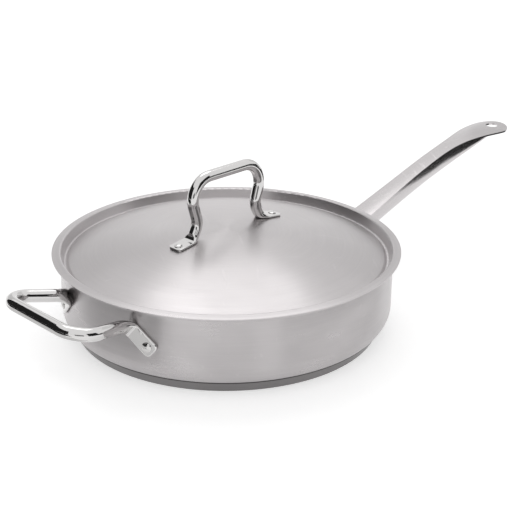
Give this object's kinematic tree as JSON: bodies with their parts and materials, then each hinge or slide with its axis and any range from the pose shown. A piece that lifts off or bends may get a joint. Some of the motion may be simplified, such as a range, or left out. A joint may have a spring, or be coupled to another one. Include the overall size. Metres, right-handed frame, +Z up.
{
  "type": "saute pan with lid",
  "caption": "Wide, low stainless steel saute pan with an encapsulated base, a riveted hollow long handle, a bent rod helper handle and a stepped, domed lid with a rod handle.",
  "frame": {"origin": "centre of the flat underside of the base, on the surface that the pan stands on", "axes": "+Z up, +X towards the tip of the long handle, with the helper handle on the -X side"},
  "size_m": [0.579, 0.2954, 0.142],
  "materials": {
    "brushed_shell": "circular brushed stainless steel",
    "brushed_lid": "circular brushed stainless steel",
    "base_steel": "fine turned stainless steel",
    "core_aluminium": "plain",
    "satin_handle": "lengthwise satin stainless steel",
    "polished_steel": "polished stainless steel",
    "polished_rod": "mirror polished stainless steel"
  },
  "bodies": {
    "pan": {"pan_body": "brushed_shell", "base_core": "core_aluminium", "base_cap": "base_steel", "long_handle_bracket": "polished_steel", "long_handle_top": "satin_handle", "long_handle_belly": "satin_handle", "long_handle_rivet_left": "polished_steel", "long_handle_rivet_right": "polished_steel", "helper_handle": "polished_rod", "helper_rivet_left": "polished_steel", "helper_rivet_right": "polished_steel"},
    "lid": {"lid_panel": "brushed_lid", "lid_handle": "polished_rod", "lid_rivet_left": "polished_steel", "lid_rivet_right": "polished_steel"}
  },
  "joints": [
    {"name": "lid_lift", "type": "slide", "parent": "pan", "child": "lid", "axis": [0, 0, 1], "range_m": [0, 0.15]}
  ]
}
